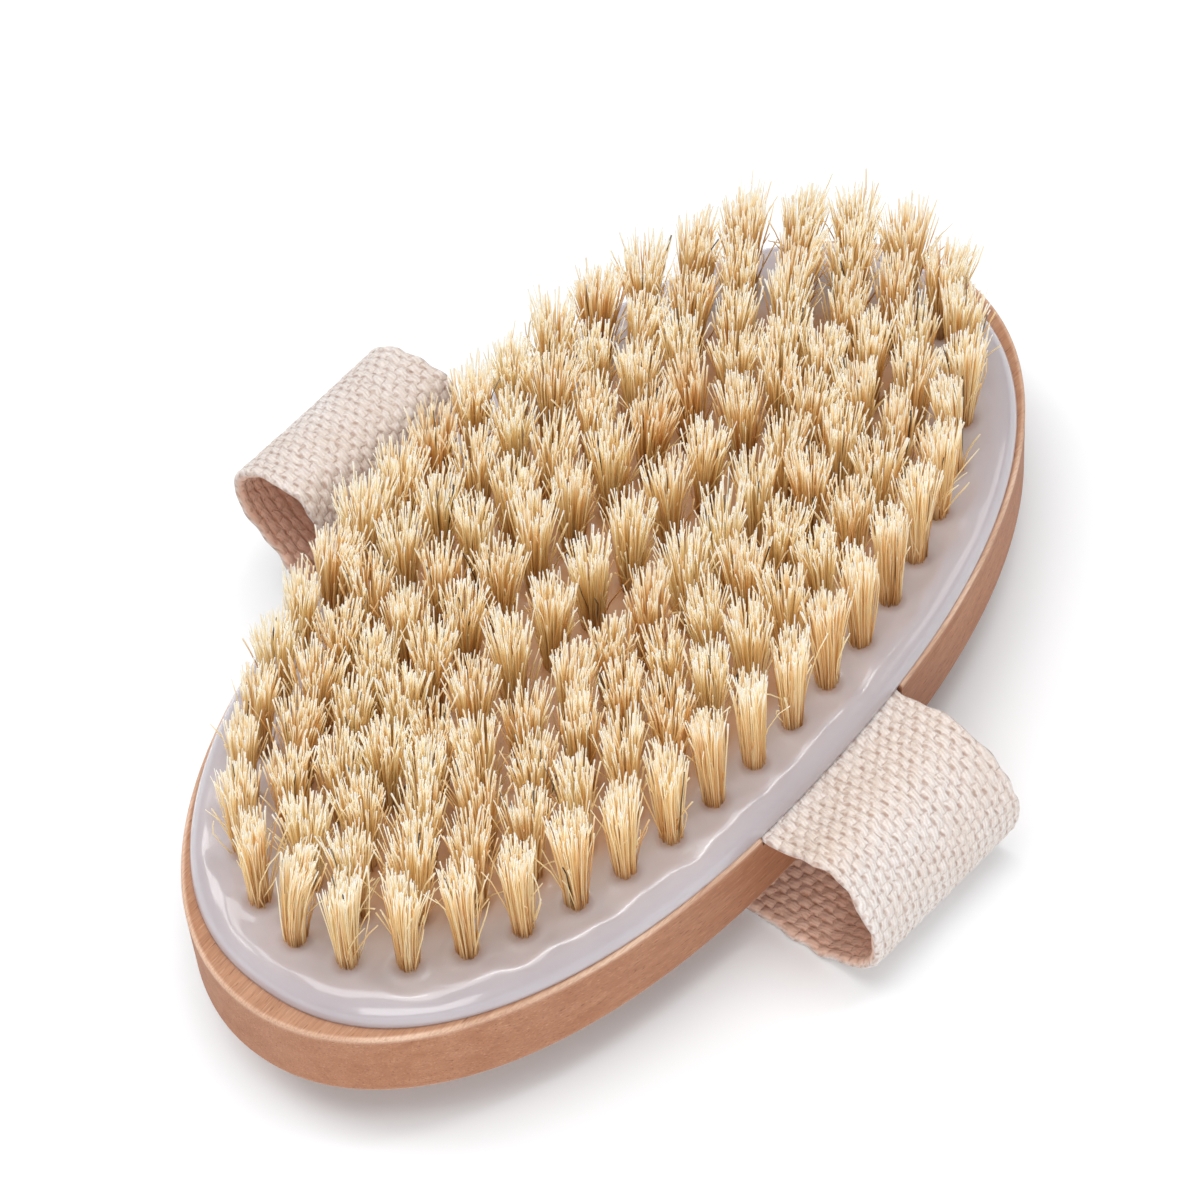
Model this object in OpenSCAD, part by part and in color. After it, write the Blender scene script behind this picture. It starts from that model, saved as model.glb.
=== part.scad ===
// Oval body dry brush: a wooden back with a soft pad on its face, tufts of
// bristle set through the pad into blind holes in the wood, and a loop of
// webbing under the back that a hand slips into.
// Millimetres. +X runs along the back, +Z points out of the bristles, and
// z = 0 is the flat run of the webbing that the brush lies on.

/* [Wooden back] */
// Length of the wooden back
back_l = 130; // [120:1:140]
// Width of the wooden back
back_w = 65.5; // [64:0.5:70]
// Thickness of the wooden back
back_t = 12; // [11:0.5:14]
// Chamfer round the edges of the back
back_chamfer = 0.7; // [0.3:0.1:1.2]
// Height of the back's underside above the surface the brush lies on
back_clear = 7.5; // [6.5:0.5:10]

/* [Pad] */
// Thickness of the soft pad
pad_t = 3.2; // [2.5:0.1:4]
// Rim of wood that shows at each end of the pad
pad_end_rim = 2.7; // [1.5:0.1:5]
// Rim of wood that shows along each side of the pad
pad_side_rim = 0.2; // [0.1:0.1:1]

/* [Tufts] */
// Height of the bristles above the pad
bristle_h = 18.3; // [10:0.1:25]
// Diameter of a tuft where it goes into the pad
tuft_root_d = 2.7; // [2:0.1:2.9]
// Diameter of a tuft at its trimmed tip
tuft_tip_d = 4.8; // [3:0.1:5.6]
// Depth of the blind tuft holes in the wood
tuft_depth = 7; // [5:0.5:8]
// Distance between one ring of tufts and the next
ring_pitch = 6; // [5.8:0.1:6.4]

/* [Hand strap] */
// Width of the webbing
strap_w = 25.5; // [20:0.5:30]
// Thickness of the webbing
strap_t = 1.5; // [1.3:0.1:2]

/* [Hidden] */

back_top = back_clear + back_t;      // face of the wood that the pad is glued to
pad_top = back_top + pad_t;
tip_z = pad_top + bristle_h;
hole_d = tuft_root_d + 0.1;
hole_floor = back_top - tuft_depth;

// Exponents of the two ovals: 2 would be a true ellipse
back_nx = 2.34;
back_ny = 2.05;
pad_n = 2.25;

// Rings of tufts, outermost first: half length, half width, number of tufts,
// and the part of a step that staggers the ring against its neighbour
ring_a = back_l/2 - 8.9;
ring_b = back_w/2 - 6.15;
RINGS = [[ring_a, ring_b, 40, 0],
         [ring_a - ring_pitch, ring_b - ring_pitch, 34, 0.5],
         [ring_a - 2*ring_pitch, ring_b - 2*ring_pitch, 28, 0],
         [ring_a - 3*ring_pitch, ring_b - 3*ring_pitch, 24, 0.5]];
row_count = 10;
row_pitch = 7;

// Ends of the webbing: let into a notch in each long side, under the pad
notch_w = strap_w + 0.5;
notch_d = strap_t + 0.1;
land_y = back_w/2 - 3.45;            // where the notch begins
end_z = back_top - 0.05 - strap_t/2; // middle of the webbing in the notch
mid_z = strap_t/2;                   // middle of the webbing on the table

// Staples that hold each end
staple_wire = 0.6;
staple_crown = 6;
staple_leg = 8;
staple_y = back_w/2 - 1.75;
staple_xs = [-8, 0, 8];

anchor = [2.6, 0.35, 1.6];           // flat wire that folds each tuft in two

// ---------- rules ----------
function oval(a, b, nx, ny, count) =
    [for (i = [0:count - 1]) let (t = 360*i/count, c = cos(t), s = sin(t))
        [a*sign(c)*pow(abs(c), 2/nx), b*sign(s)*pow(abs(s), 2/ny)]];

// Points at equal steps round an oval, starting at its -X end
function ring_points(a, b, n, count, shift) =
    let (fine = 240,
         p = [for (i = [0:fine]) let (t = 180 + 360*i/fine, c = cos(t), s = sin(t))
                [a*sign(c)*pow(abs(c), 2/n), b*sign(s)*pow(abs(s), 2/n)]],
         run = [for (i = 0, s = 0; i <= fine;
                     s = s + (i < fine ? norm(p[i + 1] - p[i]) : 0), i = i + 1) s],
         xs = [for (i = [0:fine]) [run[i], p[i][0]]],
         ys = [for (i = [0:fine]) [run[i], p[i][1]]])
    [for (j = [0:count - 1]) let (at = run[fine]*(j + shift)/count)
        [lookup(at, xs), lookup(at, ys)]];

function ring_spots(k) =
    ring_points(RINGS[k][0], RINGS[k][1], 2.14, RINGS[k][2], RINGS[k][3]);
function row_spots() =
    [for (i = [0:row_count - 1]) [(i - (row_count - 1)/2)*row_pitch, 0]];

// Smooth curve through control points
function curve_at(a, b, c, d, t) =
    0.5*(2*b + (c - a)*t + (2*a - 5*b + 4*c - d)*t*t + (3*b - a - 3*c + d)*t*t*t);
function smooth(p, steps) =
    let (n = len(p))
    concat([for (i = [0:n - 2], k = [0:steps - 1])
                curve_at(p[max(i - 1, 0)], p[i], p[i + 1], p[min(i + 2, n - 1)], k/steps)],
           [p[n - 1]]);
function along(p, i) =
    let (d = p[min(i + 1, len(p) - 1)] - p[max(i - 1, 0)]) d/norm(d);
function beside(p, off) =
    [for (i = [0:len(p) - 1]) let (d = along(p, i)) p[i] + off*[-d[1], d[0]]];

// ---------- shapes ----------
module slab(a, b, nx, ny, z, h) {
    translate([0, 0, z]) linear_extrude(height = h) polygon(oval(a, b, nx, ny, 72));
}

module at_spots(spots) {
    for (p = spots) translate([p[0], p[1], 0]) children();
}

// One round hole for each tuft
module tuft_bores(z, h) {
    for (k = [0:3]) at_spots(ring_spots(k)) translate([0, 0, z])
        cylinder(h = h, d = hole_d, $fn = 24);
    at_spots(row_spots()) translate([0, 0, z]) cylinder(h = h, d = hole_d, $fn = 24);
}

// Legs of the staples on one side, as holes or as wire
module staple_legs(side, play, top, bottom) {
    w = staple_wire + 2*play;
    for (x = staple_xs, e = [-1, 1])
        translate([x + e*(staple_crown - staple_wire)/2 - w/2, side*staple_y - w/2, bottom])
            cube([w, w, top - bottom]);
}

module staples(side) {
    staple_legs(side, 0, back_top - 0.2, back_top - staple_leg);
    for (x = staple_xs)
        translate([x - staple_crown/2, side*staple_y - staple_wire/2, back_top - 0.55])
            cube([staple_crown, staple_wire, 0.55]);
}

// A tuft: a straight root in its hole, then bristles that spread to the tip
module tuft() {
    difference() {
        union() {
            translate([0, 0, hole_floor])
                cylinder(h = pad_top - hole_floor, d = tuft_root_d, $fn = 24);
            translate([0, 0, pad_top])
                cylinder(h = bristle_h, d1 = tuft_root_d, d2 = tuft_tip_d, $fn = 24);
        }
        translate([-2, -anchor[1]/2, hole_floor - 1]) cube([4, anchor[1], anchor[2] + 1]);
    }
}

module tuft_anchor() {
    translate([-anchor[0]/2, -anchor[1]/2, hole_floor])
        cube([anchor[0], anchor[1], anchor[2]]);
}

// Middle line of the webbing in the YZ plane, from the notch on the -Y side,
// out over a low fold and down to the table, across under the back, and up
// the +Y side over a higher loop into its notch. Its ends follow the back.
function strap_line() =
    let (e = back_w/2, t = end_z, z0 = mid_z)
    [[-land_y - 0.1, t], [-e, t], [-e - 2.3, t + 0.15], [-e - 4.6, t + 0.9],
     [-e - 7, t + 1.6], [-e - 9, t + 1.5], [-e - 10.7, t + 0.7], [-e - 12.4, t - 0.8],
     [-e - 14, t - 3], [-e - 15.1, t - 5.3], [-e - 15.5, 11.2], [-e - 15.5, 8.4],
     [-e - 14.6, 5.2], [-e - 12.2, 2.6], [-e - 9, z0 + 0.4], [-e - 5.2, z0], [-20, z0],
     [0, z0], [16, z0], [24, z0], [28.5, z0 + 0.1], [e - 0.2, z0 + 0.8],
     [e + 3, z0 + 2.5], [e + 5.2, 5.7], [e + 6.9, 8], [e + 9.6, 10], [e + 12.2, 12.2],
     [e + 14.3, 15.1], [e + 15.4, 18.4], [e + 14.4, 21.6], [e + 12.1, 24.2],
     [e + 9.4, 25.5], [e + 6.6, 25.9], [e + 4.3, 25.6], [e + 2.8, 24.2],
     [e + 2.1, 22], [e + 1.5, t + 1.3], [e + 0.5, t + 0.2], [e - 1, t], [land_y + 0.1, t]];

module strap_ribbon() {
    raw = smooth(strap_line(), 4);
    line = [for (q = raw) [q[0], max(q[1], mid_z)]];
    up = beside(line, strap_t/2);
    down = beside(line, -strap_t/2);
    n = len(line);
    translate([-strap_w/2, 0, 0]) rotate([90, 0, 90])
        linear_extrude(height = strap_w)
            polygon(concat([for (i = [0:n - 1]) up[i]],
                           [for (i = [n - 1:-1:0]) down[i]]));
}

// ---------- pieces ----------
module wooden_back() {
    color("#d0a07a") difference() {
        hull() {
            slab(back_l/2 - back_chamfer, back_w/2 - back_chamfer, back_nx, back_ny,
                 back_clear, back_t);
            slab(back_l/2, back_w/2, back_nx, back_ny,
                 back_clear + back_chamfer, back_t - 2*back_chamfer);
        }
        for (s = [-1, 1]) {
            translate([-notch_w/2, s > 0 ? land_y : -back_w/2 - 5, back_top - notch_d])
                cube([notch_w, back_w/2 + 5 - land_y, notch_d + 1]);
            staple_legs(s, 0, back_top, back_top - staple_leg);
        }
        tuft_bores(hole_floor, tuft_depth + 1);
    }
}

module bristle_pad() {
    a = back_l/2 - pad_end_rim;
    b = back_w/2 - pad_side_rim;
    color("#d3cad0") difference() {
        hull() {
            slab(a, b, pad_n, pad_n, back_top, pad_t*0.35);
            slab(a - 0.45, b - 0.45, pad_n, pad_n, back_top, pad_t*0.68);
            slab(a - 1.5, b - 1.5, pad_n, pad_n, back_top, pad_t*0.92);
            slab(a - 3, b - 3, pad_n, pad_n, back_top, pad_t);
        }
        tuft_bores(back_top - 1, pad_t + 2);
    }
}

module hand_strap() {
    color("#e4d7cb") difference() {
        strap_ribbon();
        for (s = [-1, 1]) {
            staple_legs(s, 0.1, back_top + 1, back_top - notch_d - 1);
            for (x = staple_xs)
                translate([x - staple_crown/2 - 0.1, s*staple_y - staple_wire/2 - 0.1,
                           back_top - 0.6])
                    cube([staple_crown + 0.2, staple_wire + 0.2, 2]);
        }
    }
}

module strap_staples_left() { color("#b9bcc0") staples(1); }
module strap_staples_right() { color("#b9bcc0") staples(-1); }

module bristle_tufts_ring_1() { color("#e0c896") at_spots(ring_spots(0)) tuft(); }
module bristle_tufts_ring_2() { color("#e0c896") at_spots(ring_spots(1)) tuft(); }
module bristle_tufts_ring_3() { color("#e0c896") at_spots(ring_spots(2)) tuft(); }
module bristle_tufts_ring_4() { color("#e0c896") at_spots(ring_spots(3)) tuft(); }
module bristle_tufts_centre_row() { color("#e0c896") at_spots(row_spots()) tuft(); }

module tuft_anchors_ring_1() { color("#b9bcc0") at_spots(ring_spots(0)) tuft_anchor(); }
module tuft_anchors_ring_2() { color("#b9bcc0") at_spots(ring_spots(1)) tuft_anchor(); }
module tuft_anchors_ring_3() { color("#b9bcc0") at_spots(ring_spots(2)) tuft_anchor(); }
module tuft_anchors_ring_4() { color("#b9bcc0") at_spots(ring_spots(3)) tuft_anchor(); }
module tuft_anchors_centre_row() { color("#b9bcc0") at_spots(row_spots()) tuft_anchor(); }

wooden_back();
bristle_pad();
hand_strap();
strap_staples_left();
strap_staples_right();
bristle_tufts_ring_1();
bristle_tufts_ring_2();
bristle_tufts_ring_3();
bristle_tufts_ring_4();
bristle_tufts_centre_row();
tuft_anchors_ring_1();
tuft_anchors_ring_2();
tuft_anchors_ring_3();
tuft_anchors_ring_4();
tuft_anchors_centre_row();
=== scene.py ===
import math
import bpy
import numpy as np
from mathutils import Matrix, Vector


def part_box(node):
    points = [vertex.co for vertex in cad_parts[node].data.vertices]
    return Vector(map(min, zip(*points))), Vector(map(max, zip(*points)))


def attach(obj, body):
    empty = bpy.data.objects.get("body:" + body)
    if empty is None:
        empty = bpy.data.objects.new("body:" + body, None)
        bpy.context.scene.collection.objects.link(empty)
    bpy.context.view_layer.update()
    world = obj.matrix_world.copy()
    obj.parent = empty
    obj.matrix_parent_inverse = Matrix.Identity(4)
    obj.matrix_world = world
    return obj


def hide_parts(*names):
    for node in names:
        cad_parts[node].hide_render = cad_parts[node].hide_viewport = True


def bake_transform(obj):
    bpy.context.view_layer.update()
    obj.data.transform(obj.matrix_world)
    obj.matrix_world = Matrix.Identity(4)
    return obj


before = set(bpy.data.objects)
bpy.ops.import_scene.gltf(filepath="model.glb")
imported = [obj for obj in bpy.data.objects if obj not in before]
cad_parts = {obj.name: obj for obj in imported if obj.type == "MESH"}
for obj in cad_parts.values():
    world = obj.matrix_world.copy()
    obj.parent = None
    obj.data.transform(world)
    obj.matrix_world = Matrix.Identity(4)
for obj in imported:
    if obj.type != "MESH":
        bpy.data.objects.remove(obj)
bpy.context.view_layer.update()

# ---------------------------------------------------------------- places
MM = 0.001
back_lo, back_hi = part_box("wooden_back")
pad_lo, pad_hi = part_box("bristle_pad")
tuft_lo, tuft_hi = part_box("bristle_tufts_ring_1")
strap_lo, strap_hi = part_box("hand_strap")
BZ0, BZ1 = back_lo.z / MM, back_hi.z / MM        # underside and face of the wood
PZ = pad_hi.z / MM                               # top of the pad
TZ = tuft_hi.z / MM                              # trimmed tips
BA, BB = back_hi.x / MM, back_hi.y / MM          # half length, half width of the wood
PA, PB = pad_hi.x / MM, pad_hi.y / MM
SW = (strap_hi.x - strap_lo.x) / 2 / MM          # half width of the webbing
NX, NY, PN = 2.34, 2.05, 2.25

# ---------------------------------------------------------------- helpers


def smooth01(x):
    x = np.clip(x, 0.0, 1.0)
    return x * x * (3 - 2 * x)


def waves(seed, count, scale):
    """A smooth, repeatable field of two numbers: a sum of plane waves about scale mm long."""
    r = np.random.default_rng(seed)
    k = r.uniform(0.6, 1.5, count) * 2 * math.pi / scale
    a = r.uniform(0, 2 * math.pi, count)
    p = r.uniform(0, 2 * math.pi, count)

    def f(x, y):
        s = 0.0
        for i in range(count):
            s = s + np.sin(k[i] * (np.cos(a[i]) * x + np.sin(a[i]) * y) + p[i])
        return s / math.sqrt(count / 2)
    return f


def oval(a, b, nx, ny, t):
    c, s = np.cos(t), np.sin(t)
    return a * np.sign(c) * np.abs(c) ** (2 / nx), b * np.sign(s) * np.abs(s) ** (2 / ny)


def even_angles(a, b, nx, ny, count):
    """Angles that step evenly round the oval."""
    t = np.linspace(0, 2 * math.pi, 20001)
    x, y = oval(a, b, nx, ny, t)
    run = np.concatenate([[0], np.cumsum(np.hypot(np.diff(x), np.diff(y)))])
    return np.interp(np.arange(count) / count * run[-1], run, t)


def mesh_object(name, co, quads, tris=None, smooth=True):
    """An object from points in mm and index arrays."""
    me = bpy.data.meshes.new(name)
    co = np.asarray(co, np.float32) * MM
    quads = np.asarray(quads, np.int32).reshape(-1, 4)
    tris = np.zeros((0, 3), np.int32) if tris is None else np.asarray(tris, np.int32).reshape(-1, 3)
    me.vertices.add(len(co))
    me.vertices.foreach_set("co", co.ravel())
    loops = np.concatenate([quads.ravel(), tris.ravel()])
    me.loops.add(len(loops))
    me.loops.foreach_set("vertex_index", loops)
    n = len(quads) + len(tris)
    starts = np.concatenate([np.arange(len(quads)) * 4, len(quads) * 4 + np.arange(len(tris)) * 3])
    me.polygons.add(n)
    me.polygons.foreach_set("loop_start", starts.astype(np.int32))
    me.polygons.foreach_set("use_smooth", np.full(n, smooth))
    me.update(calc_edges=True)
    me.validate()
    ob = bpy.data.objects.new(name, me)
    bpy.context.scene.collection.objects.link(ob)
    return ob


def attribute(ob, name, values):
    """A colour or a number kept on each vertex."""
    me = ob.data
    v = np.asarray(values, np.float32)
    if v.ndim == 1:
        at = me.attributes.new(name, "FLOAT", "POINT")
        at.data.foreach_set("value", v)
    else:
        at = me.attributes.new(name, "FLOAT_COLOR", "POINT")
        at.data.foreach_set("color", np.c_[v, np.ones(len(v))].astype(np.float32).ravel())


def srgb(r, g, b):
    f = lambda c: (c / 255 / 12.92) if c / 255 <= 0.04045 else ((c / 255 + 0.055) / 1.055) ** 2.4
    return (f(r), f(g), f(b), 1.0)


class Nodes:
    """A short way to write a node tree."""

    def __init__(self, name):
        self.mat = bpy.data.materials.new(name)
        self.mat.use_nodes = True
        self.t = self.mat.node_tree
        self.t.nodes.clear()
        self.out = self.t.nodes.new("ShaderNodeOutputMaterial")
        self.bsdf = self.t.nodes.new("ShaderNodeBsdfPrincipled")
        self.t.links.new(self.bsdf.outputs[0], self.out.inputs[0])

    def put(self, node, socket, value):
        if value is None:
            return
        if isinstance(value, bpy.types.NodeSocket):
            self.t.links.new(value, node.inputs[socket])
        else:
            node.inputs[socket].default_value = value

    def shader(self, **values):
        for k, v in values.items():
            self.put(self.bsdf, k.replace("_", " "), v)

    def coords(self, scale=(1, 1, 1), rotation=(0, 0, 0)):
        c = self.t.nodes.new("ShaderNodeTexCoord")
        m = self.t.nodes.new("ShaderNodeMapping")
        m.inputs["Scale"].default_value = scale
        m.inputs["Rotation"].default_value = rotation
        self.t.links.new(c.outputs["Object"], m.inputs[0])
        return m.outputs[0]

    def noise(self, vector, scale, detail=3.0, rough=0.55, distortion=0.0):
        n = self.t.nodes.new("ShaderNodeTexNoise")
        self.put(n, "Vector", vector)
        self.put(n, "Scale", scale)
        self.put(n, "Detail", detail)
        self.put(n, "Roughness", rough)
        self.put(n, "Distortion", distortion)
        return n.outputs["Fac"]

    def ramp(self, value, stops, ease="LINEAR"):
        n = self.t.nodes.new("ShaderNodeValToRGB")
        n.color_ramp.interpolation = ease
        el = n.color_ramp.elements
        el[0].position, el[0].color = stops[0][0], stops[0][1]
        el[1].position, el[1].color = stops[-1][0], stops[-1][1]
        for pos, col in stops[1:-1]:
            e = el.new(pos)
            e.color = col
        self.put(n, "Fac", value)
        return n.outputs["Color"]

    def fac(self, value, lo, hi, a=0.0, b=1.0):
        n = self.t.nodes.new("ShaderNodeMapRange")
        n.clamp = True
        for k, v in (("Value", value), ("From Min", lo), ("From Max", hi), ("To Min", a), ("To Max", b)):
            self.put(n, k, v)
        return n.outputs["Result"]

    def math(self, op, a, b=0.0):
        n = self.t.nodes.new("ShaderNodeMath")
        n.operation = op
        self.put(n, 0, a)
        self.put(n, 1, b)
        return n.outputs[0]

    def mix(self, fac, a, b, kind="MIX"):
        n = self.t.nodes.new("ShaderNodeMix")
        n.data_type = "RGBA"
        n.blend_type = kind
        n.clamp_factor = True
        self.put(n, 0, fac)
        self.put(n, 6, a)
        self.put(n, 7, b)
        return n.outputs[2]

    def attr(self, name, out="Fac"):
        n = self.t.nodes.new("ShaderNodeAttribute")
        n.attribute_name = name
        return n.outputs[out]

    def bump(self, height, strength, distance, normal=None):
        n = self.t.nodes.new("ShaderNodeBump")
        self.put(n, "Height", height)
        self.put(n, "Strength", strength)
        self.put(n, "Distance", distance)
        if normal is not None:
            self.put(n, "Normal", normal)
        return n.outputs[0]


# ---------------------------------------------------------------- materials


def wood_material():
    m = Nodes("beech_bare")
    broad = m.noise(m.coords((14, 120, 120)), 1.0, 3, 0.5, 0.6)
    rings = m.noise(m.coords((22, 620, 620)), 1.0, 4, 0.6, 0.3)
    fibre = m.noise(m.coords((420, 5200, 5200)), 1.0, 3, 0.6)
    fleck = m.noise(m.coords((420, 4200, 4200)), 1.0, 2, 0.5)
    mottle = m.noise(m.coords((1, 1, 1)), 95.0, 3, 0.6)
    base = m.ramp(rings, [(0.30, srgb(170, 119, 88)), (0.5, srgb(184, 135, 104)), (0.72, srgb(197, 152, 122))])
    base = m.mix(m.fac(broad, 0.35, 0.68), base, m.mix(0.5, base, srgb(166, 116, 86)))
    base = m.mix(m.fac(mottle, 0.35, 0.75, 0.0, 0.35), base, srgb(202, 164, 138))
    base = m.mix(m.fac(fibre, 0.38, 0.66, 0.40, 0.0), base, srgb(142, 96, 70))
    base = m.mix(m.fac(fleck, 0.62, 0.70, 0.0, 0.65), base, srgb(124, 78, 54))
    base = m.mix(m.fac(fleck, 0.38, 0.31, 0.0, 0.30), base, srgb(222, 184, 154))
    # painted shade: the sides below the top face are painted darker and more orange than the top
    base = m.mix(m.math("MULTIPLY", m.attr("side"), 0.55), base, m.mix(1.0, base, srgb(232, 204, 180), "MULTIPLY"))
    # painted highlight: the eased edges, the upper one most, are painted lighter, broken up along the fibre
    edge = m.attr("edge")
    base = m.mix(m.math("MULTIPLY", edge, m.fac(fibre, 0.3, 0.6, 0.45, 0.95)), base, srgb(222, 190, 166))
    rough = m.fac(fibre, 0.3, 0.7, 0.56, 0.72)
    height = m.math("ADD", m.math("MULTIPLY", fibre, 0.6), m.math("MULTIPLY", rings, 0.4))
    m.shader(Base_Color=base, Roughness=rough, Normal=m.bump(height, 0.35, 0.00012))
    m.shader(Specular_IOR_Level=0.30)
    return m.mat


def pad_material():
    m = Nodes("milky_soft_pad")
    cloud = m.noise(m.coords(), 55.0, 3, 0.5)
    fine = m.noise(m.coords(), 420.0, 3, 0.6)
    base = m.ramp(cloud, [(0.3, srgb(178, 169, 173)), (0.55, srgb(184, 176, 180)), (0.8, srgb(191, 183, 187))])
    base = m.mix(m.fac(fine, 0.4, 0.7, 0.0, 0.10), base, srgb(176, 164, 168))
    # painted shade: the pad in among the bristles and round each tuft's root is painted warm tan, standing in for
    # shade and golden bounce light from the bristles
    base = m.mix(m.attr("painted_warm_shade"), base, srgb(188, 144, 102))
    m.shader(Base_Color=base, Roughness=m.fac(cloud, 0.3, 0.7, 0.14, 0.24),
             Normal=m.bump(m.noise(m.coords(), 160.0, 2, 0.5), 0.25, 0.0004))
    m.shader(Specular_IOR_Level=0.5, Subsurface_Weight=0.35, Subsurface_Scale=0.0016,
             Coat_Weight=0.5, Coat_Roughness=0.06)
    m.bsdf.inputs["Subsurface Radius"].default_value = (1.0, 0.75, 0.8)
    return m.mat


def bristle_material():
    m = Nodes("natural_bristle")
    t = m.attr("along")
    tint = m.attr("tint")
    # darker and more golden toward the roots, near white at the tips: partly the bristle's own colour, partly painted
    # shade low in the field and painted highlight at the tips
    body = m.ramp(t, [(0.0, srgb(214, 170, 112)), (0.14, srgb(238, 204, 148)), (0.40, srgb(245, 224, 174)),
                      (0.72, srgb(249, 234, 198)), (0.90, srgb(255, 250, 236)), (1.0, srgb(255, 255, 253))])
    pale = m.ramp(t, [(0.0, srgb(230, 200, 154)), (0.16, srgb(248, 233, 196)), (0.72, srgb(252, 245, 222)),
                      (1.0, srgb(255, 255, 255))])
    deep = m.ramp(t, [(0.0, srgb(180, 124, 66)), (0.3, srgb(216, 166, 98)), (0.72, srgb(238, 204, 148)),
                      (1.0, srgb(253, 246, 230))])
    col = m.mix(m.fac(tint, 0.42, 0.85), body, pale)
    col = m.mix(m.fac(tint, 0.42, 0.05), col, deep)
    col = m.mix(m.attr("dark"), col, srgb(62, 42, 30))
    m.shader(Base_Color=col, Roughness=0.40, Specular_IOR_Level=0.45)
    # light comes through thin bristle as well as off it
    through = m.t.nodes.new("ShaderNodeBsdfTranslucent")
    m.put(through, "Color", col)
    both = m.t.nodes.new("ShaderNodeMixShader")
    both.inputs[0].default_value = 0.45
    m.t.links.new(m.bsdf.outputs[0], both.inputs[1])
    m.t.links.new(through.outputs[0], both.inputs[2])
    # and some of it slips past: a field this open isn't dark inside
    path = m.t.nodes.new("ShaderNodeLightPath")
    clear = m.t.nodes.new("ShaderNodeBsdfTransparent")
    clear.inputs[0].default_value = (1.0, 0.94, 0.80, 1)
    slip = m.t.nodes.new("ShaderNodeMixShader")
    m.t.links.new(m.math("MULTIPLY", path.outputs["Is Shadow Ray"], 0.86), slip.inputs[0])
    m.t.links.new(both.outputs[0], slip.inputs[1])
    m.t.links.new(clear.outputs[0], slip.inputs[2])
    m.t.links.new(slip.outputs[0], m.out.inputs[0])
    return m.mat


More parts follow.
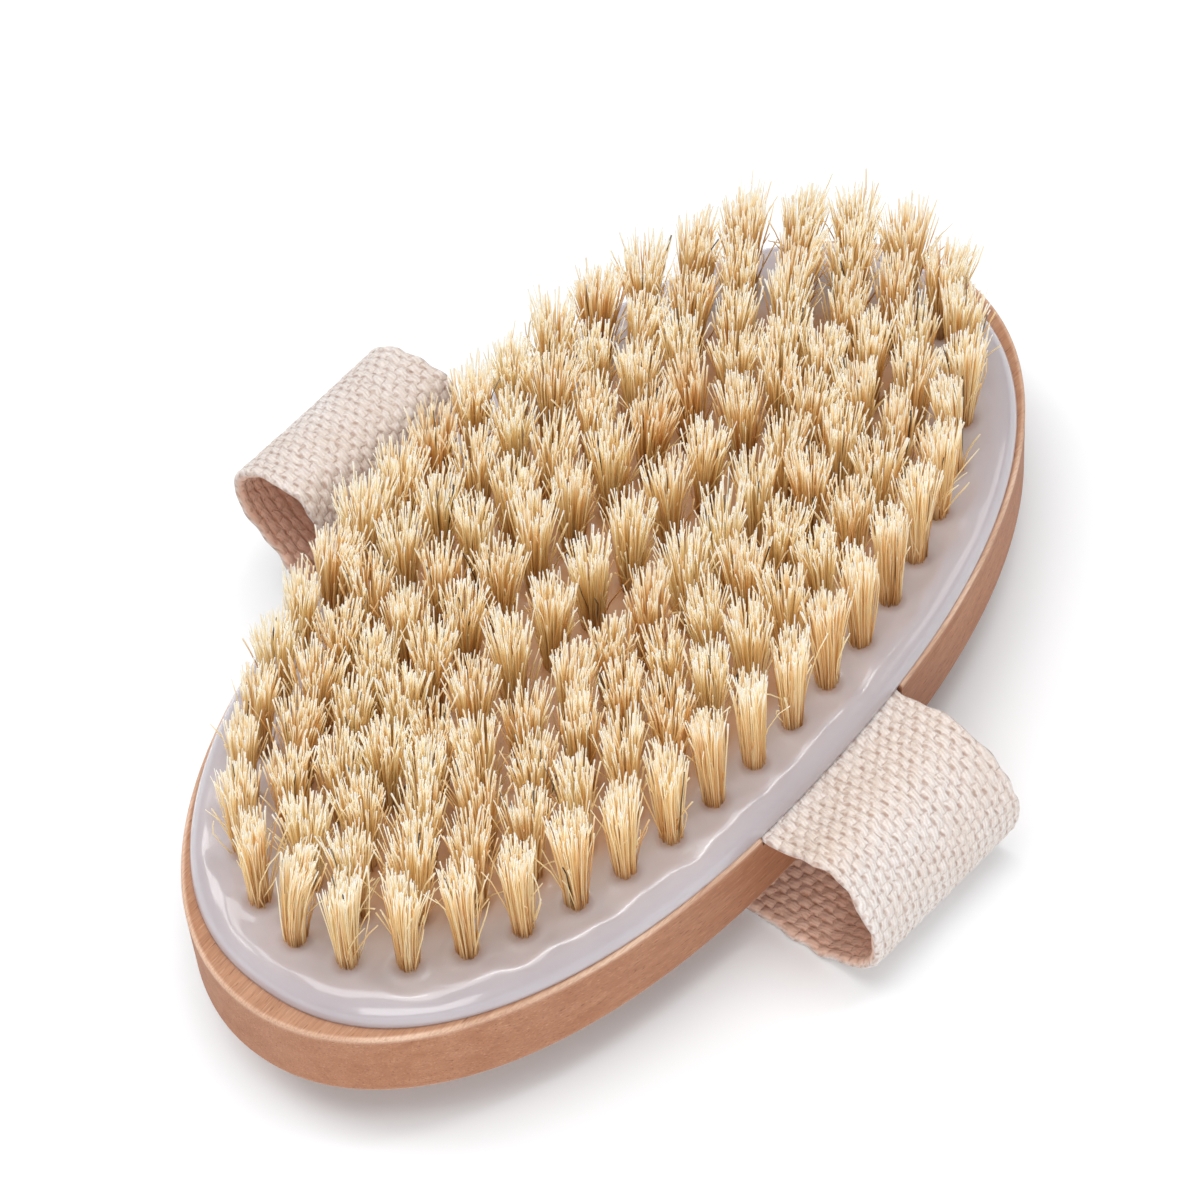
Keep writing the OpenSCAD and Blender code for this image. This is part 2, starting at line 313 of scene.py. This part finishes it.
def webbing_material():
    m = Nodes("cotton_webbing")
    M = m.math
    inner = m.attr("inner")
    # where we are in the weave: picks along, columns across, a little uneven
    w1 = m.noise(m.coords(), 650.0, 2, 0.6)
    w2 = m.noise(m.coords((1, 1, 1), (0.7, 0.3, 1.1)), 520.0, 2, 0.6)
    w3 = m.noise(m.coords((1, 1, 1), (0.2, 0.9, 0.4)), 900.0, 2, 0.6)
    fuzz = m.noise(m.coords(), 5200.0, 3, 0.7)
    soil = m.noise(m.coords(), 120.0, 3, 0.6)
    fleck = m.noise(m.coords((900, 420, 420)), 1.0, 2, 0.6)
    u = M("ADD", m.attr("picks"), M("MULTIPLY", M("SUBTRACT", w1, 0.5), 1.9))
    v = M("ADD", m.attr("columns"), M("MULTIPLY", M("SUBTRACT", w2, 0.5), 0.75))
    i = M("FLOOR", v)
    di = M("ABSOLUTE", M("SUBTRACT", M("FRACT", v), 0.5))
    q = M("ABSOLUTE", M("SUBTRACT", M("FRACT", M("MULTIPLY", M("ADD", u, i), 0.5)), 0.5))
    vb = M("ADD", v, 0.5)
    db = M("ABSOLUTE", M("SUBTRACT", M("FRACT", vb), 0.5))
    qb = M("ABSOLUTE", M("SUBTRACT", M("FRACT", M("MULTIPLY", M("ADD", u, M("ADD", M("FLOOR", vb), 0.35)), 0.5)), 0.5))
    dash = M("MULTIPLY", m.fac(db, 0.07, 0.24, 1.0, 0.0), m.fac(qb, 0.17, 0.33, 1.0, 0.0))
    line = M("MULTIPLY", m.fac(db, 0.02, 0.12, 1.0, 0.0), 0.28)
    cross = M("MULTIPLY", m.fac(q, 0.41, 0.47, 0.0, 1.0), m.fac(di, 0.20, 0.45, 1.0, 0.0))
    gap = M("MAXIMUM", M("MAXIMUM", M("MULTIPLY", dash, m.fac(w3, 0.34, 0.60, 0.22, 1.0)), line),
            M("MULTIPLY", cross, m.fac(w1, 0.35, 0.65, 0.15, 0.75)))
    along = m.t.nodes.new("ShaderNodeCombineXYZ")
    m.put(along, 0, M("MULTIPLY", u, 0.55))
    m.put(along, 1, M("MULTIPLY", v, 4.2))
    m.put(along, 2, M("MULTIPLY", inner, 9.0))
    strand = m.noise(along.outputs[0], 1.0, 3, 0.6)
    ply = M("SINE", M("ADD", M("MULTIPLY", v, 17.0), M("MULTIPLY", u, 3.4)))
    col = m.mix(m.fac(ply, -1.0, 1.0), srgb(221, 211, 205), srgb(235, 229, 226))
    col = m.mix(m.fac(soil, 0.35, 0.75, 0.0, 0.35), col, srgb(208, 186, 168))
    col = m.mix(m.fac(fuzz, 0.42, 0.70, 0.0, 0.25), col, srgb(186, 162, 144))
    col = m.mix(m.fac(strand, 0.52, 0.68, 0.0, 0.34), col, srgb(188, 156, 136))
    # painted shade: the gaps and dips between the yarns are painted darker brown
    col = m.mix(M("MULTIPLY", gap, 0.66), col, srgb(160, 118, 96))
    col = m.mix(m.fac(fleck, 0.68, 0.75, 0.0, 0.45), col, srgb(132, 100, 78))
    # painted shade: the inner face of the webbing, facing the wood and into the loops, is painted peach-brown,
    # standing in for shade and warm bounce light from the wood
    col = m.mix(M("MULTIPLY", inner, 0.52), col, srgb(232, 168, 128))
    round_ = M("SUBTRACT", 1.0, M("MULTIPLY", M("MULTIPLY", di, di), 3.4))
    rise = M("COSINE", M("MULTIPLY", q, 2 * math.pi))
    height = M("ADD", M("MULTIPLY", round_, 0.45), M("MULTIPLY", rise, 0.22))
    height = M("SUBTRACT", M("ADD", height, M("MULTIPLY", ply, 0.06)), M("MULTIPLY", gap, 0.7))
    height = M("ADD", height, M("ADD", M("MULTIPLY", fuzz, 0.25), M("MULTIPLY", strand, -0.5)))
    m.shader(Base_Color=col, Roughness=m.fac(fuzz, 0.3, 0.7, 0.82, 0.96),
             Normal=m.bump(height, 0.75, 0.00022))
    m.shader(Specular_IOR_Level=0.18, Sheen_Weight=0.25, Sheen_Roughness=0.5)
    return m.mat


def wire_material():
    m = Nodes("galvanised_wire")
    n = m.noise(m.coords(), 900.0, 3, 0.6)
    m.shader(Base_Color=m.ramp(n, [(0.3, (0.42, 0.43, 0.44, 1)), (0.7, (0.62, 0.63, 0.64, 1))]),
             Roughness=m.fac(n, 0.3, 0.7, 0.28, 0.45))
    m.shader(Metallic=1.0)
    return m.mat


# ---------------------------------------------------------------- wooden back


def rings_mesh(name, rings, close_bottom, close_top):
    """A closed skin through rings of equal point counts, each (n, 3)."""
    n = len(rings[0])
    co = np.concatenate(rings + [close_bottom[None], close_top[None]])
    quads = []
    i = np.arange(n)
    j = (i + 1) % n
    for k in range(len(rings) - 1):
        a, b = k * n, (k + 1) * n
        quads.append(np.stack([a + i, a + j, b + j, b + i], 1))
    last = (len(rings) - 1) * n
    cb, ct = len(rings) * n, len(rings) * n + 1
    tris = np.concatenate([np.stack([j, i, np.full(n, cb)], 1),
                           np.stack([last + i, last + j, np.full(n, ct)], 1)])
    return mesh_object(name, co, np.concatenate(quads), tris), co


def make_back():
    t = even_angles(BA, BB, NX, NY, 720)
    wob = waves(11, 5, 46.0)

    def ring(inset, z, scale=1.0):
        x, y = oval(BA - inset, BB - inset, NX, NY, t)
        return np.stack([x * scale, y * scale, np.full(len(t), z)], 1)
    rings, edge = [], []
    for s in (0.25, 0.5, 0.75, 0.92):
        rings.append(ring(2.0, BZ0, s)); edge.append(0)
    rings.append(ring(1.6, BZ0)); edge.append(0)
    for k in range(8):                              # eased lower edge
        a = k / 7 * math.pi / 2
        r = 0.9
        rings.append(ring(r * (1 - math.sin(a)), BZ0 + r * (1 - math.cos(a)))); edge.append(0.45 if 0 < k < 7 else 0.1)
    for z in np.linspace(BZ0 + 1.3, BZ1 - 0.9, 12):
        rings.append(ring(0.0, z)); edge.append(0)
    for k in range(8):                              # eased upper edge
        a = k / 7 * math.pi / 2
        r = 0.42
        rings.append(ring(r * (1 - math.cos(a)), BZ1 - r * (1 - math.sin(a)))); edge.append(1.0 if 0 < k < 7 else 0.55)
    for s in (0.62, 0.9, 1.5, 2.6, 4.0):
        rings.append(ring(s, BZ1)); edge.append(0)
    for s in (0.85, 0.6, 0.3):
        rings.append(ring(4.2, BZ1, s)); edge.append(0)
    ob, co = rings_mesh("wooden_back_body", rings, np.array([0, 0, BZ0]), np.array([0, 0, BZ1]))
    # where the painted highlight on the eased edges goes, waxing and waning along them
    e = np.concatenate([np.full(len(t), v, np.float32) for v in edge] + [np.zeros(2, np.float32)])
    e = e * (0.75 + 0.25 * np.sin(co[:, 0] * 0.31 + 1.1 * np.sin(co[:, 1] * 0.23)))
    attribute(ob, "edge", np.clip(e, 0, 1))
    # where the painted shade on the sides goes
    attribute(ob, "side", smooth01((BZ1 - 0.5 - co[:, 2]) / 0.6))
    # the notches that the webbing comes out of
    for sy in (-1, 1):
        me = bpy.data.meshes.new("cut")
        x, y0, y1, z0, z1 = SW + 0.25, BB - 3.45, BB + 4, BZ1 - 1.6, BZ1 + 3
        ys = sorted((sy * y0, sy * y1))
        v = [(a * MM, b * MM, c * MM) for a in (-x, x) for b in ys for c in (z0, z1)]
        f = [(0, 1, 3, 2), (4, 6, 7, 5), (0, 4, 5, 1), (2, 3, 7, 6), (0, 2, 6, 4), (1, 5, 7, 3)]
        me.from_pydata(v, [], f)
        cut = bpy.data.objects.new("cut", me)
        bpy.context.scene.collection.objects.link(cut)
        mod = ob.modifiers.new("notch", "BOOLEAN")
        mod.operation, mod.solver, mod.object = "DIFFERENCE", "EXACT", cut
        bpy.context.view_layer.objects.active = ob
        bpy.context.view_layer.update()
        with bpy.context.temp_override(object=ob, active_object=ob, selected_objects=[ob]):
            bpy.ops.object.modifier_apply(modifier=mod.name)
        bpy.data.objects.remove(cut)
    ob.data.set_sharp_from_angle(angle=math.radians(50))
    ob.data.materials.clear()
    ob.data.materials.append(wood_material())
    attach(ob, "brush")
    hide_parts("wooden_back")
    return ob


# ---------------------------------------------------------------- tufts' places


def ring_points(a, b, n, count, shift):
    t = math.pi + 2 * math.pi * np.arange(241) / 240
    x, y = oval(a, b, n, n, t)
    run = np.concatenate([[0], np.cumsum(np.hypot(np.diff(x), np.diff(y)))])
    at = run[-1] * (np.arange(count) + shift) / count
    return np.stack([np.interp(at, run, x), np.interp(at, run, y)], 1)


RA, RB, RP = BA - 8.9, BB - 6.15, 6.0
SPOTS = {
    "bristle_tufts_ring_1": ring_points(RA, RB, 2.14, 40, 0),
    "bristle_tufts_ring_2": ring_points(RA - RP, RB - RP, 2.14, 34, 0.5),
    "bristle_tufts_ring_3": ring_points(RA - 2 * RP, RB - 2 * RP, 2.14, 28, 0),
    "bristle_tufts_ring_4": ring_points(RA - 3 * RP, RB - 3 * RP, 2.14, 24, 0.5),
    "bristle_tufts_centre_row": np.stack([(np.arange(10) - 4.5) * 7.0, np.zeros(10)], 1),
}
ALL_SPOTS = np.concatenate(list(SPOTS.values()))


# ---------------------------------------------------------------- pad
pad_w1, pad_w2, pad_w3 = waves(21, 7, 17.0), waves(22, 7, 8.5), waves(23, 5, 30.0)


def pad_height(x, y, d):
    """Height of the pad's top at (x, y), d mm in from its outline."""
    w, p = 2.9, 2.1
    s = np.clip(d / w, 0, 1)
    prof = (1 - (1 - s) ** p) ** (1 / p)
    z = BZ1 + 0.05 + (PZ - BZ1 - 0.05) * np.maximum(prof, 0.03)
    crest = np.exp(-((d - 3.3 - 0.5 * pad_w1(x, y)) / 1.15) ** 2) * (0.13 + 0.09 * pad_w2(x, y))
    z = z + crest * smooth01(d / 2.5) - 0.05 * smooth01((d - 5) / 3)
    z = z + (0.05 * pad_w1(x, y) + 0.03 * pad_w2(x, y) + 0.06 * pad_w3(x, y)) * smooth01(d / 3)
    r = np.full(np.shape(x), 1e9)
    for q in ALL_SPOTS:
        r = np.minimum(r, np.hypot(x - q[0], y - q[1]))
    z = z - 0.16 * np.exp(-(r / 1.7) ** 4) + 0.10 * np.exp(-((r - 2.2) / 0.5) ** 2)
    return np.minimum(z, PZ + 0.28), r


def make_pad():
    n = 640
    t = even_angles(PA, PB, PN, PN, n)
    rings, rs = [], []

    def ring(inset, scale, fixed=None):
        x, y = oval(PA - inset, PB - inset, PN, PN, t)
        x, y = x * scale, y * scale
        if fixed is not None:
            return np.stack([x, y, np.full(n, fixed)], 1), np.full(n, 9.0)
        # distance in from the outline, measured where the ring is scaled too
        d = inset + (1 - scale) * np.minimum(np.hypot(x, y) / max(scale, 1e-6), PB)
        z, r = pad_height(x, y, d)
        return np.stack([x, y, z], 1), r
    for inset, scale in ((6, 0.3), (6, 0.7), (3, 1.0), (0.6, 1.0)):
        p, r = ring(inset, scale, BZ1 + 0.005); rings.append(p); rs.append(r)
    p, r = ring(0.12, 1.0, BZ1 + 0.01); rings.append(p); rs.append(r)
    for inset in (0.0, 0.04, 0.12, 0.24, 0.40, 0.60, 0.85, 1.15, 1.5, 1.9, 2.3, 2.7, 3.1, 3.5, 3.9, 4.3, 4.7, 5.1, 5.6, 6.1):
        p, r = ring(inset, 1.0)
        if inset == 0.0:
            p[:, 2] = BZ1 + 0.14
        rings.append(p); rs.append(r)
    for k in range(1, 52):
        p, r = ring(6.1, 1 - k / 52.0)
        rings.append(p); rs.append(r)
    cz, cr = pad_height(np.array([0.0]), np.array([0.0]), np.array([20.0]))
    ob, co = rings_mesh("bristle_pad_skin", rings, np.array([0, 0, BZ1 + 0.005]), np.array([0, 0, float(cz[0])]))
    r = np.concatenate(rs + [np.array([9.0, float(cr[0])])])
    # painted shade: strongest inside the bristle field, plus a ring round each tuft's root
    inside = (np.abs(co[:, 0]) / (RA + 0.5)) ** 2.14 + (np.abs(co[:, 1]) / (RB + 0.5)) ** 2.14
    field = 0.74 * smooth01((0.90 - inside) / 0.28)
    attribute(ob, "painted_warm_shade", np.clip(field + 0.34 * np.exp(-(np.maximum(r - 1.2, 0) / 0.45) ** 2), 0, 0.8))
    ob.data.materials.append(pad_material())
    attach(ob, "brush")
    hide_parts("bristle_pad")
    return ob


# ---------------------------------------------------------------- bristles


def make_bristles(node, spots, seed, per_tuft, mat):
    rim = node.endswith("ring_1")
    r = np.random.default_rng(seed)
    steps = np.array([0.0, 0.25, 0.55, 0.82, 1.0])
    lines, rads, along, tint, dark = [], [], [], [], []
    for x0, y0 in spots:
        # the tufts are bushier round one half of the brush
        bush = float(smooth01((x0 / RA + y0 / RB + 0.1) / 0.8)) if rim else 0.0
        n = int((per_tuft + int(r.integers(-8, 9))) * (1 + 0.28 * bush))
        # roots packed in the hole, more of them toward its edge
        ang = r.uniform(0, 2 * math.pi, n)
        rad = 1.27 * np.sqrt(r.uniform(0.04, 1.0, n))
        rx, ry = rad * np.cos(ang), rad * np.sin(ang)
        # the tuft is folded over a flat wire, so it fans more one way than the other
        fan = r.normal(0.0, 0.6)
        wide, narrow = r.uniform(1.70, 2.35), r.uniform(1.35, 1.80)
        if not rim:
            wide, narrow = wide * 1.28, narrow * 1.32
        else:
            wide, narrow = wide * (1 + 0.44 * bush), narrow * (1 + 0.44 * bush)
        c, s = math.cos(fan), math.sin(fan)
        u, v = rx * c + ry * s, -rx * s + ry * c
        u, v = u * wide * r.normal(1, 0.16, n), v * narrow * r.normal(1, 0.18, n)
        lean_a, lean = r.uniform(0, 2 * math.pi), abs(r.normal(0, 0.5))
        # the field has taken a slight set to one side
        set_x = 0.1 - 0.35 * x0 / RA
        set_y = -0.75 * (1 + y0 / RB) - 0.4 * max(x0 / RA, 0) ** 2
        tx = u * c - v * s + lean * math.cos(lean_a) + set_x + r.normal(0, 0.24, n)
        ty = u * s + v * c + lean * math.sin(lean_a) + set_y + r.normal(0, 0.24, n)
        full = TZ - PZ - 1.15 - abs(r.normal(0, 0.42))
        tilt_a, tilt = r.uniform(0, 2 * math.pi), r.normal(0, 0.28)
        h = full - np.abs(r.normal(0, 0.85, n)) + tilt * (rx * math.cos(tilt_a) + ry * math.sin(tilt_a))
        short = r.uniform(size=n) < (0.12 if rim else 0.20)
        h = np.where(short, full * r.uniform(0.50, 0.9, n), h)
        tall = r.uniform(size=n) < 0.02
        h = np.where(tall, full + r.uniform(0.2, 0.9, n), h)
        h = np.minimum(h, TZ - PZ + 0.1)
        stray = r.uniform(size=n) < (0.06 + 0.04 * bush if rim else 0.11)
        sa = r.uniform(0, 2 * math.pi, n)
        sl = np.where(stray, r.uniform(1.0, 3.6, n), 0.0)
        tx, ty = tx + sl * np.cos(sa), ty + sl * np.sin(sa)
        h = np.where(stray, h * r.uniform(0.50, 0.97, n), h)
        bend_a, bend = r.uniform(0, 2 * math.pi, n), r.normal(0, 0.20, n) * np.where(stray, 3.0, 1.0)
        power = r.uniform(1.2, 1.9, n)
        pts = np.zeros((n, len(steps), 3))
        for k, q in enumerate(steps):
            f = q ** power
            w = math.sin(math.pi * q)
            pts[:, k, 0] = x0 + rx + (tx - rx) * f + bend * w * np.cos(bend_a)
            pts[:, k, 1] = y0 + ry + (ty - ry) * f + bend * w * np.sin(bend_a)
            pts[:, k, 2] = (PZ - 0.9) + (h + 0.9) * q
        # a bristle's own end hooks over a little
        hook = r.normal(0, 0.16, (n, 2))
        pts[:, -1, :2] += hook
        lines.append(pts)
        base = r.uniform(0.080, 0.118, n)
        end = np.where(r.uniform(size=n) < 0.35, r.uniform(1.0, 1.35, n), r.uniform(0.55, 0.9, n))
        taper = np.tile(np.array([1.0, 1.0, 0.96, 0.88, 1.0]), (n, 1))
        taper[:, -1] = end
        rads.append(base[:, None] * taper)
        # along runs from root to tip and also with height above the pad, so the colour ramps on it paint shade low in
        # the field
        along.append(np.clip(((pts[:, :, 2] - PZ) / (TZ - PZ)), 0, 1) * 0.45
                     + np.repeat(steps[None], n, 0) * 0.55)
        tone = np.clip(r.normal(0.50 + r.normal(0, 0.09), 0.28, n), 0, 1)
        tint.append(np.repeat(tone[:, None], len(steps), 1))
        dk = r.uniform(size=n) < 0.007
        part = r.uniform(0.0, 0.6, n)
        dark.append(np.where(dk[:, None] & (steps[None] >= part[:, None]), r.uniform(0.7, 1.0, n)[:, None], 0.0))
    P = np.concatenate(lines)
    R = np.concatenate(rads)
    n, m = P.shape[:2]
    spin = r.uniform(0, 2 * math.pi, n)
    T = np.gradient(P, axis=1)
    T /= np.linalg.norm(T, axis=2, keepdims=True)
    X = np.cross(T, np.array([0.0, 1.0, 0.0]))
    X /= np.linalg.norm(X, axis=2, keepdims=True)
    Y = np.cross(T, X)
    sides = 3
    V = np.zeros((n, m, sides, 3))
    for k in range(sides):
        a = spin + 2 * math.pi * k / sides
        V[:, :, k] = P + R[:, :, None] * (np.cos(a)[:, None, None] * X + np.sin(a)[:, None, None] * Y)
    idx = np.arange(n * m * sides).reshape(n, m, sides)
    quads = []
    for k in range(sides):
        k2 = (k + 1) % sides
        quads.append(np.stack([idx[:, :-1, k], idx[:, :-1, k2], idx[:, 1:, k2], idx[:, 1:, k]], -1).reshape(-1, 4))
    quads = np.concatenate(quads)
    tris = np.concatenate([idx[:, 0, ::-1], idx[:, -1, :]])
    name = node.replace("bristle_tufts", "bristles")
    ob = mesh_object(name, V.reshape(-1, 3), quads, tris)
    rep = lambda a: np.repeat(np.concatenate(a)[:, :, None], sides, 2).ravel()
    attribute(ob, "along", rep(along))
    attribute(ob, "tint", rep(tint))
    attribute(ob, "dark", rep(dark))
    ob.data.materials.append(mat)
    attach(ob, "brush")
    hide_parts(node)
    return ob


# ---------------------------------------------------------------- webbing
E, ST = BB, 1.5
PITCH_V, PITCH_U = 2 * SW / 20, 0.85
END_Z = BZ1 - 0.05 - ST / 2
LAND = BB - 3.45
LINE = [(-LAND - 0.1, END_Z), (-E, END_Z), (-E - 2.3, END_Z + 0.15), (-E - 4.6, END_Z + 0.9),
        (-E - 7, END_Z + 1.6), (-E - 9, END_Z + 1.5), (-E - 10.7, END_Z + 0.7), (-E - 12.4, END_Z - 0.8),
        (-E - 14, END_Z - 3), (-E - 15.1, END_Z - 5.3), (-E - 15.5, 11.2), (-E - 15.5, 8.4),
        (-E - 14.6, 5.2), (-E - 12.2, 2.6), (-E - 9, 1.15), (-E - 5.2, 0.75), (-20, 0.75), (0, 0.75),
        (16, 0.75), (24, 0.75), (28.5, 0.85), (E - 0.2, 1.55), (E + 3, 3.25), (E + 5.2, 5.7),
        (E + 6.9, 8), (E + 9.6, 10), (E + 12.2, 12.2), (E + 14.3, 15.1), (E + 15.4, 18.4),
        (E + 14.4, 21.6), (E + 12.1, 24.2), (E + 9.4, 25.5), (E + 6.6, 25.9), (E + 4.3, 25.6),
        (E + 2.8, 24.2), (E + 2.1, 22), (E + 1.5, END_Z + 1.3), (E + 0.5, END_Z + 0.2), (E - 1, END_Z),
        (LAND + 0.1, END_Z)]


def smooth_line(p, n):
    p = np.array(p)
    fine = []
    for i in range(len(p) - 1):
        a, b, c, d = p[max(i - 1, 0)], p[i], p[i + 1], p[min(i + 2, len(p) - 1)]
        for t in np.arange(12) / 12:
            fine.append(0.5 * (2 * b + (c - a) * t + (2 * a - 5 * b + 4 * c - d) * t * t
                               + (3 * b - a - 3 * c + d) * t ** 3))
    fine = np.array(fine + [p[-1]])
    run = np.concatenate([[0], np.cumsum(np.linalg.norm(np.diff(fine, axis=0), axis=1))])
    s = np.linspace(0, run[-1], n)
    return s, np.stack([np.interp(s, run, fine[:, 0]), np.interp(s, run, fine[:, 1])], 1)


def weave(u, v, seed):
    """Height of the weave's yarns at u mm along and v mm across."""
    r = np.random.default_rng(seed)
    i = np.floor((v + SW) / PITCH_V).astype(int)
    di = (v + SW) / PITCH_V - i - 0.5
    q = np.abs(np.mod((u / PITCH_U + i) / 2, 1) - 0.5)
    k = np.floor((u / PITCH_U + i) / 2).astype(int)
    jit = r.uniform(-1, 1, (64, 512))
    jit2 = r.uniform(-1, 1, (64, 512))
    body = np.sqrt(np.clip(1 - (di / 0.54) ** 2, 0, 1))
    h = 0.11 * body + 0.05 * np.cos(2 * math.pi * q) + 0.025 * jit[i % 64, k % 512] * (q < 0.35)
    h = h - 0.06 * smooth01((q - 0.38) / 0.1) + 0.014 * jit2[i % 64, k % 512] * np.sin(6 * math.pi * di)
    return h


def make_strap():
    nu, nv = 780, 101
    s, line = smooth_line(LINE, nu)
    line[:, 1] = np.maximum(line[:, 1], 0.75)
    T = np.gradient(line, axis=0)
    T /= np.linalg.norm(T, axis=1)[:, None]
    outw = np.stack([T[:, 1], -T[:, 0]], 1)            # away from the wood, outside of the loop
    v = np.linspace(-1, 1, nv)
    V, U = np.meshgrid(v * SW, s)
    ly, lz = np.repeat(line[:, :1], nv, 1), np.repeat(line[:, 1:], nv, 1)
    oy, oz = np.repeat(outw[:, :1], nv, 1), np.repeat(outw[:, 1:], nv, 1)
    f = V / SW
    # limp webbing: its two edges don't follow quite the same curve
    near = smooth01((-ly - 35) / 6) * smooth01((lz - 9) / 8)
    nearlow = smooth01((-ly - 39) / 5) * (1 - smooth01((lz - 2) / 9))
    nearout = smooth01((-ly - 42) / 5) * smooth01((lz - 2) / 4)
    far = smooth01((ly - 34.5) / 4) * smooth01((lz - 9) / 8)
    lz = lz + near * (-0.05 - 0.75 * f) + nearlow * (0.45 - 0.65 * f) + far * (-0.2 - 1.1 * f)
    ly = ly + nearout * (-0.25 - 0.65 * f) + far * smooth01((lz - 14) / 8) * (0.1 * f)
    # it sags a little in the middle of its width where nothing holds it
    belly = (1 - f ** 2)
    lz = lz - 0.25 * belly * (near + far)
    thick = 0.56 * np.sqrt(np.clip(1 - np.clip((np.abs(f) - 0.955) / 0.047, 0, 1) ** 2, 0.04, 1))
    edge_fade = smooth01((1 - np.abs(f)) / 0.06)
    held = 0.35 + 0.65 * smooth01((np.minimum(U, s[-1] - U) - 3.0) / 1.2)
    flat = 1 - 0.35 * ((np.abs(ly) < 37) & (lz < 3))     # pressed on the table
    h1, h2 = weave(U, V, 5), weave(U + PITCH_U, V, 6)
    a = (thick + h1 * edge_fade * held * flat)
    b = (thick + h2 * edge_fade * held)
    # irregular selvedge
    wob = waves(31, 5, 5.0)
    V2 = V + np.sign(f) * 0.13 * wob(U, f * 3) * smooth01((np.abs(f) - 0.9) / 0.1)
    outer = np.stack([V2, ly + oy * a, np.maximum(lz + oz * a, 0.02)], -1)
    inner = np.stack([V2, ly - oy * b, lz - oz * b], -1)
    inner[:, 0], inner[:, -1] = outer[:, 0], outer[:, -1]
    n_out = nu * nv
    mid = inner[:, 1:-1]
    co = np.concatenate([outer.reshape(-1, 3), mid.reshape(-1, 3)])
    io = np.arange(n_out).reshape(nu, nv)
    ii = np.empty((nu, nv), int)
    ii[:, 1:-1] = n_out + np.arange(nu * (nv - 2)).reshape(nu, nv - 2)
    ii[:, 0], ii[:, -1] = io[:, 0], io[:, -1]
    q1 = np.stack([io[:-1, :-1], io[1:, :-1], io[1:, 1:], io[:-1, 1:]], -1).reshape(-1, 4)
    q2 = np.stack([ii[:-1, :-1], ii[:-1, 1:], ii[1:, 1:], ii[1:, :-1]], -1).reshape(-1, 4)
    caps, ctri = [], []
    for row, flip in ((0, False), (nu - 1, True)):
        for k in range(nv - 1):
            loop = [io[row, k], io[row, k + 1], ii[row, k + 1], ii[row, k]]
            seen = []
            for x in loop:
                if x not in seen:
                    seen.append(x)
            seen = seen[::-1] if flip else seen
            (caps if len(seen) == 4 else ctri).append(seen)
    ob = mesh_object("hand_strap_webbing", co, np.concatenate([q1, q2, np.array(caps)]), np.array(ctri))
    cat = lambda A, B: np.concatenate([A.ravel(), B[:, 1:-1].ravel()])
    attribute(ob, "picks", cat(U / PITCH_U, U / PITCH_U + 1))
    attribute(ob, "columns", cat((V + SW) / PITCH_V, (V + SW) / PITCH_V))
    # inner marks the inner face, which gets the painted shade
    attribute(ob, "inner", cat(np.zeros_like(h1), np.ones_like(h2)))
    ob.data.materials.append(webbing_material())
    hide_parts("hand_strap")
    return ob, float(s[-1])


# ---------------------------------------------------------------- build
back = make_back()
pad = make_pad()
hair = bristle_material()
for k, (node, spots) in enumerate(SPOTS.items()):
    make_bristles(node, spots, 100 + k, 132 if k == 0 else 138, hair)
strap, strap_len = make_strap()
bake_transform(strap)

wire = wire_material()
for name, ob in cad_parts.items():
    if name.startswith("tuft_anchors") or name.startswith("strap_staples"):
        ob.data.materials.clear()
        ob.data.materials.append(wire)

# ---------------------------------------------------------------- studio
floor_mat = Nodes("studio_floor")
floor_mat.shader(Base_Color=(0.93, 0.955, 0.975, 1), Roughness=0.9)
floor_mat.shader(Specular_IOR_Level=0.1)
me = bpy.data.meshes.new("studio_floor")
S = 4.0
me.from_pydata([(-S, -S, 0), (S, -S, 0), (S, S, 0), (-S, S, 0)], [], [(0, 1, 2, 3)])
floor = bpy.data.objects.new("studio_floor", me)
bpy.context.scene.collection.objects.link(floor)
me.materials.append(floor_mat.mat)

world = bpy.data.worlds.new("studio")
bpy.context.scene.world = world
world.use_nodes = True
world.node_tree.nodes["Background"].inputs[0].default_value = (1, 1, 1, 1)
world.node_tree.nodes["Background"].inputs[1].default_value = 0.42


def area(name, place, target, size, power, colour=(1, 1, 1)):
    li = bpy.data.lights.new(name, "AREA")
    li.shape, li.size, li.size_y = "RECTANGLE", size[0], size[1]
    li.energy, li.color = power, colour
    ob = bpy.data.objects.new(name, li)
    ob.location = place
    ob.rotation_euler = (Vector(target) - Vector(place)).to_track_quat("-Z", "Y").to_euler()
    bpy.context.scene.collection.objects.link(ob)
    return ob


area("overhead", (-0.05, 0.08, 1.1), (0, 0, 0), (0.8, 0.8), 6.3)
area("key", (-0.20, 0.68, 0.74), (0, 0, 0.02), (0.42, 0.42), 2.3)
area("strip", (0.24, -0.16, 1.0), (0, 0, 0), (0.10, 0.62), 1.4)
area("front_fill", (-0.74, -0.60, 0.40), (0, 0, 0.01), (0.7, 0.5), 4.1)
area("right_fill", (0.72, -0.56, 0.42), (0, 0, 0.01), (0.5, 0.4), 1.1)

cam = bpy.data.cameras.new("camera")
cam.sensor_width = 36.0
cam.lens = 150.0
cam.clip_start, cam.clip_end = 0.01, 20.0
cam_ob = bpy.data.objects.new("camera", cam)
right = Vector((0.63175244, -0.7731475, -0.05596249))
up = Vector((0.66153555, 0.50010433, 0.55880799))
fwd = Vector((0.40405391, 0.39004949, -0.82740669))
rot = Matrix((right, up, -fwd)).transposed().to_4x4()
cam_ob.matrix_world = Matrix.Translation(Vector((-0.235624, -0.225591, 0.485003 + BZ1 * MM))) @ rot
bpy.context.scene.collection.objects.link(cam_ob)
bpy.context.scene.camera = cam_ob
bpy.context.scene.view_settings.view_transform = "Standard"
bpy.context.scene.cycles.diffuse_bounces = 8
bpy.context.scene.cycles.max_bounces = 16
